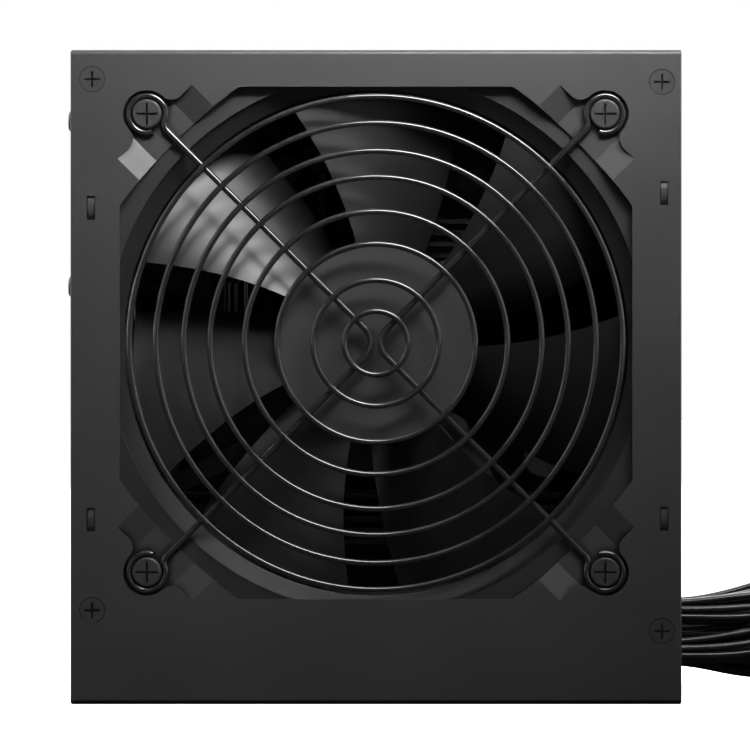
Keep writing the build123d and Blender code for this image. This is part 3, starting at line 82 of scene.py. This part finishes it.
CABLE_WALL_X = 0.070
COIL_X = 0.165
COIL_Y = -0.0275
COIL_START = 120.0
COIL_STEP = 30.0
CABLES = {
    "main_cable": {
        "diameter": 0.0104, "length": 0.556, "exit": (0.011, 0.0104), "board_x": 0.050,
        "way_in": [(0.084, 0.011, 0.0104), (0.105, 0.015, 0.0078)],
        "outer": 0.0665, "pitch": 0.012, "level": 0.0065, "steps": 12,
        "tail": [(-0.006, 0.0518, 0.0063), (0.0145, 0.0456, 0.0061), (0.0282, 0.0306, 0.0059),
                 (0.0318, 0.010, 0.0057), (0.0236, -0.009, 0.0055), (0.009, -0.0204, 0.0055)],
        "rings": [(3, 0.00107), (8, 0.00255), (13, 0.00425)], "wire": 0.00093,
    },
    "processor_cable": {
        "diameter": 0.006, "length": 0.720, "exit": (0.0022, 0.0095), "board_x": 0.040,
        "way_in": [(0.084, 0.0022, 0.0095), (0.105, 0.004, 0.0149)],
        "outer": 0.064, "pitch": 0.0072, "level": 0.0155, "steps": 20,
        "tail": [(-0.038, -0.0315, 0.0153), (-0.0405, -0.017, 0.0106), (-0.037, -0.0025, 0.0055),
                 (-0.0315, 0.008, 0.0055)],
        "rings": [(1, 0.0), (7, 0.00210)], "wire": 0.00090,
    },
    "graphics_cable": {
        "diameter": 0.006, "length": 0.5586, "exit": (0.0058, 0.0186), "board_x": 0.046,
        "way_in": [(0.084, 0.0058, 0.0186), (0.105, 0.0085, 0.0218)],
        "outer": 0.064, "pitch": 0.0072, "level": 0.022, "steps": 14,
        "tail": [(0.0358, 0.0324, 0.022), (0.0413, 0.018, 0.014), (0.0427, 0.0024, 0.0055),
                 (0.0389, -0.0106, 0.0055)],
        "rings": [(1, 0.0), (7, 0.00210)], "wire": 0.00090,
    },
    "drive_cable": {
        "diameter": 0.005, "length": 0.555, "exit": (0.013, 0.0192), "board_x": 0.061,
        "way_in": [(0.084, 0.013, 0.0192), (0.105, 0.0145, 0.0268)],
        "outer": 0.064, "pitch": 0.0062, "level": 0.0283, "steps": 13,
        "tail": [(0.014, 0.0465, 0.0278), (0.0219, 0.0317, 0.0225), (0.0205, 0.0158, 0.0184),
                 (0.013, 0.0028, 0.0156), (0.0043, -0.0069, 0.0146), (-0.0028, -0.0139, 0.0146)],
        "rings": [(5, 0.00155)], "wire": 0.00088,
    },
}
LINE_STEPS = 10  # points read between two control points
WIRE_SIDES = 8
TWIST = 9.0  # radians along each metre of a bundle
WANDER = 0.10  # radians that a wire strays from its place
WANDER_RATE = 61.0  # radians of that wave along each metre
WANDER_SHIFT = 1.7  # radians between one wire's wave and the next
SWELL = 0.05  # share of its radius that a wire moves in and out
SWELL_RATE = 83.0
SWELL_SHIFT = 2.3
FLARE = 0.50  # share that the bundle widens beyond the grommet
FLARE_FROM = 0.001
FLARE_TO = 0.042


def cable_route(cable):
    """Control points of a cable's centreline."""
    points = [(CABLE_WALL_X, *cable["exit"])] + cable["way_in"]
    for step in range(cable["steps"] + 1):
        swept = COIL_STEP * step
        radius = cable["outer"] - cable["pitch"] * swept / 360
        angle = math.radians(COIL_START - swept)
        points.append((COIL_X + radius * math.cos(angle), COIL_Y + radius * math.sin(angle),
                       cable["level"]))
    return points + [(COIL_X + x, COIL_Y + y, z) for x, y, z in cable["tail"]]


def centreline(points, name):
    """Points read from a NURBS spline with those control points."""
    data = bpy.data.curves.new(name, "CURVE")
    data.dimensions = "3D"
    data.resolution_u = LINE_STEPS
    spline = data.splines.new("NURBS")
    spline.points.add(len(points) - 1)
    for place, point in zip(spline.points, points):
        place.co = (*point, 1.0)
    spline.order_u = 3
    spline.use_endpoint_u = True
    curve = bpy.data.objects.new(name, data)
    scene.collection.objects.link(curve)
    mesh = bpy.data.meshes.new_from_object(curve)
    line = [vertex.co.copy() for vertex in mesh.vertices]
    bpy.data.objects.remove(curve)
    bpy.data.curves.remove(data)
    bpy.data.meshes.remove(mesh)
    return line


def carried_frames(line):
    """Distance along, point, and two directions across the line, carried without twist."""
    frames = []
    across = None
    travelled = 0.0
    for index, point in enumerate(line):
        ahead = line[min(index + 1, len(line) - 1)]
        behind = line[max(index - 1, 0)]
        along = (ahead - behind).normalized()
        if across is None:
            across = Vector((0, 0, 1)).cross(along).normalized()
        else:
            across = (across - along * across.dot(along)).normalized()
            travelled += (point - line[index - 1]).length
        frames.append((travelled, point, across, along.cross(across)))
    return frames


def flare(travelled):
    """How much wider than its packed size a bundle is here."""
    if not FLARE_FROM < travelled < FLARE_TO:
        return 1.0
    part = (travelled - FLARE_FROM) / (FLARE_TO - FLARE_FROM)
    return 1.0 + FLARE * math.sin(math.pi * part) ** 2


def make_bundle(name, line, rings, wire, spread=True):
    """One mesh with every wire of a bundle, each a closed round tube along the line."""
    frames = carried_frames(line)
    vertices = []
    faces = []
    count = 0
    for ring, (number, distance) in enumerate(rings):
        for place in range(number):
            count += 1
            base = 2 * math.pi * place / number + ring
            first = len(vertices)
            for travelled, point, across, up in frames:
                wander = WANDER * math.sin(travelled * WANDER_RATE + count * WANDER_SHIFT)
                swell = SWELL * math.sin(travelled * SWELL_RATE + count * SWELL_SHIFT)
                angle = base + TWIST * travelled + wander
                grown = flare(travelled) if spread else 1.0
                out = distance * grown * (1 + swell)
                centre = point + across * (out * math.cos(angle)) + up * (out * math.sin(angle))
                for side in range(WIRE_SIDES):
                    turn = 2 * math.pi * side / WIRE_SIDES
                    vertices.append(centre + (across * math.cos(turn) + up * math.sin(turn)) * wire)
            for row in range(len(frames) - 1):
                for side in range(WIRE_SIDES):
                    following = (side + 1) % WIRE_SIDES
                    low = first + row * WIRE_SIDES
                    faces.append((low + side, low + following, low + WIRE_SIDES + following,
                                  low + WIRE_SIDES + side))
            last = first + (len(frames) - 1) * WIRE_SIDES
            faces.append(tuple(first + side for side in reversed(range(WIRE_SIDES))))
            faces.append(tuple(last + side for side in range(WIRE_SIDES)))
    mesh = bpy.data.meshes.new(name)
    mesh.from_pydata(vertices, [], faces)
    mesh.polygons.foreach_set("use_smooth", [len(face) == 4 for face in faces])
    mesh.update()
    bundle = bpy.data.objects.new(name, mesh)
    scene.collection.objects.link(bundle)
    return bundle


def make_cables():
    """The four coiled bundles and their wires inside the case."""
    made = []
    for name, cable in CABLES.items():
        line = centreline(cable_route(cable), name + "_line")
        bundle = make_bundle(name + "_wires", line, cable["rings"], cable["wire"])
        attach(bundle, "case")
        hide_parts(name)
        made.append(bundle)
    board_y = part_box("circuit_board")[0].y
    for name, cable in CABLES.items():
        y, z = cable["exit"]
        line = centreline([(CABLE_WALL_X, y, z), (cable["board_x"], y, z),
                           (cable["board_x"], board_y, z)], name + "_inner_line")
        inner = make_bundle(name + "_inner_wires", line, cable["rings"], cable["wire"], False)
        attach(inner, "case")
        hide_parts("board_leads")
        made.append(inner)
    return made


wire_bundles = make_cables()

# ---------------------------------------------------------------- materials
# Sizes of patches, grains and depths of relief in metres; colours are linear.

NOISE_LOW = 0.3  # the part of a noise that is used
NOISE_HIGH = 0.7
COAT_ROUGHNESS = 0.1
# Painted shade: in gaps found by ambient occlusion, colours darken towards this colour.
PAINTED_SHADE_COLOUR = (0.002, 0.002, 0.002, 1)
PAINTED_SHADE_FROM = 0.65  # openness at which the painted shade in a gap is fully dark
PAINTED_SHADE_TO = 0.97
WAVE_PER_METRE = 0.314  # wave texture scale for bands one metre apart
WINDING_GLOSS = (0.3, 0.45)
BRUSHED_GLOSS = (0.28, 0.42)
BRUSHED_STRETCH = 0.04
HUB_WALL = 0.0016  # hub plastic round the yoke
HUB_EDGE = 0.0001
BLADE_SPECULAR = 0.33
GLASS_CLEAR = 0.8


def new_material(name):
    """Empty node material with its shader, and its object-space coordinates."""
    material = bpy.data.materials.new(name)
    material.use_nodes = True
    tree = material.node_tree
    shader = tree.nodes["Principled BSDF"]
    where = tree.nodes.new("ShaderNodeTexCoord").outputs["Object"]
    return material, tree, shader, where


def noise(tree, where, size, detail=4.0, roughness=0.5):
    """Noise with features of that size in metres."""
    texture = tree.nodes.new("ShaderNodeTexNoise")
    texture.inputs["Scale"].default_value = 1.0 / size
    texture.inputs["Detail"].default_value = detail
    texture.inputs["Roughness"].default_value = roughness
    tree.links.new(where, texture.inputs["Vector"])
    return texture.outputs["Fac"]


def between(tree, factor, low, high):
    """A number that runs from low to high with the factor."""
    spread = tree.nodes.new("ShaderNodeMapRange")
    spread.inputs["From Min"].default_value = NOISE_LOW
    spread.inputs["From Max"].default_value = NOISE_HIGH
    spread.inputs["To Min"].default_value = low
    spread.inputs["To Max"].default_value = high
    tree.links.new(factor, spread.inputs["Value"])
    return spread.outputs["Result"]


def tint(tree, factor, first, second):
    """A colour between two, by the factor."""
    ramp = tree.nodes.new("ShaderNodeValToRGB")
    ramp.color_ramp.elements[0].position = NOISE_LOW
    ramp.color_ramp.elements[1].position = NOISE_HIGH
    ramp.color_ramp.elements[0].color = (*first, 1.0)
    ramp.color_ramp.elements[1].color = (*second, 1.0)
    tree.links.new(factor, ramp.inputs["Fac"])
    return ramp.outputs["Color"]


def relief(tree, shader, height, depth):
    """Bump of that depth from a 0 to 1 height."""
    bump = tree.nodes.new("ShaderNodeBump")
    bump.inputs["Strength"].default_value = 1.0
    bump.inputs["Distance"].default_value = depth
    tree.links.new(height, bump.inputs["Height"])
    tree.links.new(bump.outputs["Normal"], shader.inputs["Normal"])


def blended(tree, kind, factor, first, second):
    """Mix of two sockets by the factor; kind is RGBA or FLOAT."""
    mix = tree.nodes.new("ShaderNodeMix")
    mix.data_type = kind
    tree.links.new(factor, mix.inputs["Factor"])
    tree.links.new(first, mix.inputs["A"])
    tree.links.new(second, mix.inputs["B"])
    return mix.outputs["Result"]


def painted_gap_shade(tree, colour, width):
    """The colour with painted shade: dark where the surface lies in a gap of about that width, found
    by ambient occlusion.
    """
    shade = tree.nodes.new("ShaderNodeAmbientOcclusion")
    shade.inputs["Distance"].default_value = width
    open_share = tree.nodes.new("ShaderNodeMapRange")
    open_share.inputs["From Min"].default_value = PAINTED_SHADE_FROM
    open_share.inputs["From Max"].default_value = PAINTED_SHADE_TO
    tree.links.new(shade.outputs["AO"], open_share.inputs["Value"])
    mix = tree.nodes.new("ShaderNodeMix")
    mix.data_type = "RGBA"
    mix.inputs["A"].default_value = PAINTED_SHADE_COLOUR
    tree.links.new(open_share.outputs["Result"], mix.inputs["Factor"])
    tree.links.new(colour, mix.inputs["B"])
    return mix.outputs["Result"]


def grained(name, first, second, rough, patch=0.02, grain=0.0006, depth=0.00001, metallic=0.0,
            coat=0.0, painted_shade_gap=0.0):
    """Finish with uneven colour, uneven gloss and a fine grain, and painted shade in gaps if a gap
    width is given.
    """
    material, tree, shader, where = new_material(name)
    colour = tint(tree, noise(tree, where, patch), first, second)
    # painted shade: the colour is darkened where ambient occlusion finds a gap
    if painted_shade_gap:
        colour = painted_gap_shade(tree, colour, painted_shade_gap)
    tree.links.new(colour, shader.inputs["Base Color"])
    gloss = noise(tree, where, patch * 0.45, 6.0, 0.65)
    tree.links.new(between(tree, gloss, *rough), shader.inputs["Roughness"])
    relief(tree, shader, noise(tree, where, grain, 3.0), depth)
    shader.inputs["Metallic"].default_value = metallic
    shader.inputs["Coat Weight"].default_value = coat
    shader.inputs["Coat Roughness"].default_value = COAT_ROUGHNESS
    return material


def wound(name, first, second, pitch, axis, metallic=0.0):
    """Winding: turns of wire side by side along one axis."""
    material, tree, shader, where = new_material(name)
    wave = tree.nodes.new("ShaderNodeTexWave")
    wave.bands_direction = axis
    wave.inputs["Scale"].default_value = WAVE_PER_METRE / pitch
    wave.inputs["Distortion"].default_value = 0.6
    wave.inputs["Detail"].default_value = 2.0
    tree.links.new(where, wave.inputs["Vector"])
    tree.links.new(tint(tree, wave.outputs["Fac"], first, second), shader.inputs["Base Color"])
    gloss = noise(tree, where, pitch * 3)
    tree.links.new(between(tree, gloss, *WINDING_GLOSS), shader.inputs["Roughness"])
    relief(tree, shader, wave.outputs["Fac"], pitch * 0.3)
    shader.inputs["Metallic"].default_value = metallic
    return material


def brushed(name, first, second, along):
    """Metal with fine lines along one axis."""
    material, tree, shader, where = new_material(name)
    stretch = tree.nodes.new("ShaderNodeMapping")
    scales = [BRUSHED_STRETCH if axis == along else 1.0 for axis in "XYZ"]
    stretch.inputs["Scale"].default_value = scales
    tree.links.new(where, stretch.inputs["Vector"])
    lines = noise(tree, stretch.outputs["Vector"], 0.0005, 3.0)
    tree.links.new(tint(tree, noise(tree, where, 0.012), first, second),
                   shader.inputs["Base Color"])
    tree.links.new(between(tree, lines, *BRUSHED_GLOSS), shader.inputs["Roughness"])
    relief(tree, shader, lines, 0.000012)
    shader.inputs["Metallic"].default_value = 1.0
    return material


def fan_rotor_finish():
    """Glossy blades round a matt hub."""
    material, tree, shader, where = new_material("fan_rotor_plastic")
    split = tree.nodes.new("ShaderNodeSeparateXYZ")
    tree.links.new(where, split.inputs["Vector"])
    low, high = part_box("rotor_yoke")
    hub_radius = (high.x - low.x) / 2 + HUB_WALL
    height = tree.nodes.new("ShaderNodeMath")
    height.operation = "SUBTRACT"
    height.inputs[1].default_value = (low.z + high.z) / 2
    tree.links.new(split.outputs["Z"], height.inputs[0])
    flat = tree.nodes.new("ShaderNodeCombineXYZ")
    tree.links.new(split.outputs["X"], flat.inputs["X"])
    tree.links.new(height.outputs["Value"], flat.inputs["Y"])
    reach = tree.nodes.new("ShaderNodeVectorMath")
    reach.operation = "LENGTH"
    tree.links.new(flat.outputs["Vector"], reach.inputs[0])
    hub = tree.nodes.new("ShaderNodeMapRange")
    hub.inputs["From Min"].default_value = hub_radius + HUB_EDGE
    hub.inputs["From Max"].default_value = hub_radius
    tree.links.new(reach.outputs["Value"], hub.inputs["Value"])
    mask = hub.outputs["Result"]
    uneven = noise(tree, where, 0.015)
    blade_colour = tint(tree, uneven, (0.010, 0.010, 0.0105), (0.014, 0.014, 0.015))
    hub_colour = tint(tree, uneven, (0.030, 0.030, 0.031), (0.035, 0.035, 0.036))
    tree.links.new(blended(tree, "RGBA", mask, blade_colour, hub_colour),
                   shader.inputs["Base Color"])
    blade_gloss = between(tree, uneven, 0.33, 0.37)
    hub_gloss = between(tree, uneven, 0.50, 0.53)
    tree.links.new(blended(tree, "FLOAT", mask, blade_gloss, hub_gloss),
                   shader.inputs["Roughness"])
    relief(tree, shader, noise(tree, where, 0.004, 2.0), 0.000006)
    shader.inputs["Specular IOR Level"].default_value = BLADE_SPECULAR
    return material


def board_finish():
    """Black solder mask, darkened further as painted shade for the dim inside of the case, with
    faint copper tracks under it.
    """
    material, tree, shader, where = new_material("board_mask_painted_shade")
    tracks = tree.nodes.new("ShaderNodeTexBrick")
    tracks.inputs["Scale"].default_value = 120.0
    tracks.inputs["Mortar Size"].default_value = 0.03
    turned = tree.nodes.new("ShaderNodeMapping")
    turned.inputs["Rotation"].default_value = (math.pi / 2, 0, 0)
    tree.links.new(where, turned.inputs["Vector"])
    tree.links.new(turned.outputs["Vector"], tracks.inputs["Vector"])
    # painted shade: mask and track colours darkened to stand for the dim inside of the case
    tracks.inputs["Color1"].default_value = (0.004, 0.006, 0.005, 1)
    tracks.inputs["Color2"].default_value = (0.006, 0.009, 0.007, 1)
    tracks.inputs["Mortar"].default_value = (0.010, 0.016, 0.012, 1)
    tree.links.new(tracks.outputs["Color"], shader.inputs["Base Color"])
    tree.links.new(between(tree, noise(tree, where, 0.004), 0.35, 0.5), shader.inputs["Roughness"])
    relief(tree, shader, tracks.outputs["Fac"], 0.00003)
    return material


def glass_finish():
    """Fuse glass with faint streaks."""
    material, tree, shader, where = new_material("fuse_glass")
    streaks = noise(tree, where, 0.002)
    tree.links.new(tint(tree, streaks, (0.75, 0.80, 0.80), (0.85, 0.88, 0.88)),
                   shader.inputs["Base Color"])
    tree.links.new(between(tree, streaks, 0.05, 0.15), shader.inputs["Roughness"])
    shader.inputs["Transmission Weight"].default_value = GLASS_CLEAR
    return material


materials = {
    # case_coat carries painted shade that darkens its recesses, slots and the rims round the screws
    "case_coat": grained("case_coat", (0.030, 0.030, 0.031), (0.036, 0.036, 0.037), (0.40, 0.48),
                         patch=0.03, grain=0.00035, depth=0.000008, painted_shade_gap=0.0016),
    "guard_wire": grained("guard_coat", (0.012, 0.012, 0.013), (0.018, 0.018, 0.019), (0.16, 0.22),
                          patch=0.01, grain=0.0009, depth=0.000005, coat=0.8),
    # screw_black carries painted shade that darkens the screw rims and gaps
    "black_screw": grained("screw_black", (0.028, 0.028, 0.029), (0.036, 0.036, 0.037), (0.34, 0.44),
                           patch=0.004, grain=0.0004, depth=0.000006, painted_shade_gap=0.0007),
    "fan_plastic": grained("frame_plastic", (0.012, 0.012, 0.013), (0.017, 0.017, 0.018),
                           (0.42, 0.52), patch=0.02, grain=0.0006, depth=0.00001),
    "black_plastic": grained("moulded_black", (0.016, 0.016, 0.017), (0.024, 0.024, 0.025),
                             (0.38, 0.52), patch=0.012, grain=0.0005, depth=0.000012),
    "rocker_plastic": grained("rocker_plastic", (0.014, 0.014, 0.015), (0.019, 0.019, 0.02),
                              (0.2, 0.28), patch=0.01, grain=0.0008, depth=0.000005),
    "wire_sleeve": grained("wire_plastic", (0.010, 0.010, 0.011), (0.016, 0.016, 0.017),
                           (0.26, 0.36), patch=0.01, grain=0.0006, depth=0.00001),
    "board": board_finish(),
    "steel": brushed("plain_steel", (0.42, 0.42, 0.43), (0.52, 0.52, 0.53), "Y"),
    "zinc_steel": grained("zinc_steel", (0.50, 0.51, 0.50), (0.62, 0.62, 0.58), (0.28, 0.42),
                          patch=0.003, metallic=1.0),
    "ferrite": grained("ferrite", (0.03, 0.03, 0.033), (0.05, 0.05, 0.052), (0.55, 0.7),
                       patch=0.004, grain=0.0004, depth=0.00002),
    "bronze": brushed("bearing_bronze", (0.45, 0.30, 0.14), (0.56, 0.38, 0.2), "Y"),
    "copper": wound("stator_copper", (0.32, 0.12, 0.05), (0.62, 0.28, 0.12), 0.0004, "Y",
                    metallic=0.8),
    "brass_pin": brushed("pin_plating", (0.55, 0.53, 0.46), (0.68, 0.65, 0.55), "X"),
    "liner": grained("liner_sheet", (0.05, 0.05, 0.048), (0.07, 0.07, 0.067), (0.35, 0.5)),
    "can_sleeve": grained("can_sleeve", (0.012, 0.014, 0.02), (0.02, 0.022, 0.03), (0.25, 0.35),
                          patch=0.006),
    "small_can": grained("small_can", (0.018, 0.019, 0.021), (0.028, 0.029, 0.031), (0.28, 0.4),
                         patch=0.004),
    # painted shade: winding tape darkened far below its own colour to stand for the dim inside of
    # the case
    "winding_tape": wound("winding_tape", (0.020, 0.018, 0.012), (0.034, 0.030, 0.020), 0.004, "Y"),
    # painted shade: choke copper darkened to near black to stand for the dim inside of the case
    "coil_wire": wound("choke_wire_painted_shade", (0.020, 0.011, 0.007), (0.06, 0.03, 0.018), 0.0006, "X",
                       metallic=0.3),
    "film_block": grained("film_block", (0.020, 0.019, 0.016), (0.03, 0.028, 0.022), (0.4, 0.5),
                          patch=0.005),
    # painted shade: disc capacitor blue darkened to near black for the dim inside of the case
    "disc_block": grained("disc_block", (0.012, 0.016, 0.026), (0.018, 0.024, 0.036), (0.3, 0.4),
                          patch=0.003),
    # painted shade: heatsink metal darkened far below any bare metal to stand for the dim inside of
    # the case
    "heatsink_metal": brushed("heatsink_metal", (0.035, 0.035, 0.036), (0.06, 0.06, 0.061), "X"),
    "package": grained("package_body", (0.015, 0.015, 0.016), (0.025, 0.025, 0.026), (0.5, 0.6),
                       patch=0.003),
    "fuse_glass": glass_finish(),
    "white_plug": grained("white_plug", (0.55, 0.55, 0.52), (0.65, 0.65, 0.61), (0.4, 0.5)),
}


def set_material(piece, material):
    """The piece's only material."""
    piece.data.materials.clear()
    piece.data.materials.append(material)


def finish_pieces():
    """A finish for every CAD node and every wire bundle."""
    for part in frame["record"]["subparts"]:
        set_material(nodes[part["node"]], materials[part["material_slot"]])
    set_material(nodes["fan_rotor"], fan_rotor_finish())
    for bundle in wire_bundles:
        set_material(bundle, materials["wire_sleeve"])


finish_pieces()

# ---------------------------------------------------------------- studio

FLOOR_HALF = 6.0
FLOOR_SEEN = 1.05
FLOOR_BOUNCE = 0.06
WORLD_LIGHT = 0.04


def make_floor():
    """Plain pale floor under the case, white to the camera and dark to everything else."""
    mesh = bpy.data.meshes.new("floor")
    corners = [(-1, -1), (1, -1), (1, 1), (-1, 1)]
    mesh.from_pydata([(x * FLOOR_HALF, y * FLOOR_HALF, 0) for x, y in corners], [], [(0, 1, 2, 3)])
    floor = bpy.data.objects.new("floor", mesh)
    scene.collection.objects.link(floor)
    material, tree, shader, where = new_material("floor_paint")
    seen = tree.nodes.new("ShaderNodeLightPath").outputs["Is Camera Ray"]
    paint = tree.nodes.new("ShaderNodeMix")
    paint.data_type = "RGBA"
    paint.inputs["A"].default_value = (FLOOR_BOUNCE, FLOOR_BOUNCE, FLOOR_BOUNCE, 1)
    tree.links.new(seen, paint.inputs["Factor"])
    tree.links.new(tint(tree, noise(tree, where, 0.4), (0.88, 0.88, 0.88), (0.90, 0.90, 0.90)),
                   paint.inputs["B"])
    tree.links.new(paint.outputs["Result"], shader.inputs["Base Color"])
    shader.inputs["Roughness"].default_value = 0.9
    shader.inputs["Specular IOR Level"].default_value = 0.1
    shader.inputs["Emission Color"].default_value = (1, 1, 1, 1)
    glow = tree.nodes.new("ShaderNodeMapRange")
    glow.inputs["To Max"].default_value = FLOOR_SEEN
    tree.links.new(seen, glow.inputs["Value"])
    tree.links.new(glow.outputs["Result"], shader.inputs["Emission Strength"])
    set_material(floor, material)


def make_world():
    """White surroundings that light the object only softly."""
    world = bpy.data.worlds.new("studio")
    scene.world = world
    world.use_nodes = True
    tree = world.node_tree
    tree.nodes.clear()
    seen = tree.nodes.new("ShaderNodeBackground")
    seen.inputs["Color"].default_value = (1, 1, 1, 1)
    seen.inputs["Strength"].default_value = 1.0
    lit = tree.nodes.new("ShaderNodeBackground")
    lit.inputs["Color"].default_value = (1, 1, 1, 1)
    lit.inputs["Strength"].default_value = WORLD_LIGHT
    path = tree.nodes.new("ShaderNodeLightPath")
    choice = tree.nodes.new("ShaderNodeMixShader")
    output = tree.nodes.new("ShaderNodeOutputWorld")
    tree.links.new(path.outputs["Is Camera Ray"], choice.inputs["Fac"])
    tree.links.new(lit.outputs["Background"], choice.inputs[1])
    tree.links.new(seen.outputs["Background"], choice.inputs[2])
    tree.links.new(choice.outputs["Shader"], output.inputs["Surface"])


def area_light(name, place, aim, size, power, spread=180):
    """Soft light that faces a point, its beam narrowed to the spread in degrees."""
    data = bpy.data.lights.new(name, "AREA")
    data.shape = "RECTANGLE"
    data.size, data.size_y = size
    data.energy = power
    data.spread = math.radians(spread)
    light = bpy.data.objects.new(name, data)
    scene.collection.objects.link(light)
    light.location = place
    light.visible_camera = False
    towards = Vector(aim) - Vector(place)
    light.rotation_euler = towards.to_track_quat("-Z", "Y").to_euler()


make_floor()
make_world()
# Each light: name, place, aim, size in metres, power in watts and beam in degrees.
area_light("key", (0.09, -0.20, 0.30), (0.03, -0.05, 0.200), (0.24, 0.08), 0.42, 72)
area_light("upper_front", (0.0, -1.0, 0.95), (0, 0, 0.09), (0.9, 0.35), 1.3)
area_light("right_front", (0.85, -1.15, 0.2), (0, 0, 0.09), (0.3, 0.9), 1.5)
area_light("left_front", (-0.85, -1.15, 0.2), (0, 0, 0.09), (0.3, 0.9), 1.0)
area_light("top", (0.0, 0.2, 1.4), (0, 0, 0.05), (1.2, 1.0), 9)
area_light("back", (-0.5, 1.3, 0.8), (0, 0, 0.08), (1.6, 1.2), 30)
area_light("left_side", (-1.4, 0.4, 0.6), (-0.07, 0, 0.08), (1.6, 1.2), 22)
area_light("right_side", (1.4, 0.4, 0.6), (0.07, 0, 0.08), (1.6, 1.2), 22)
scene.view_settings.view_transform = "Standard"
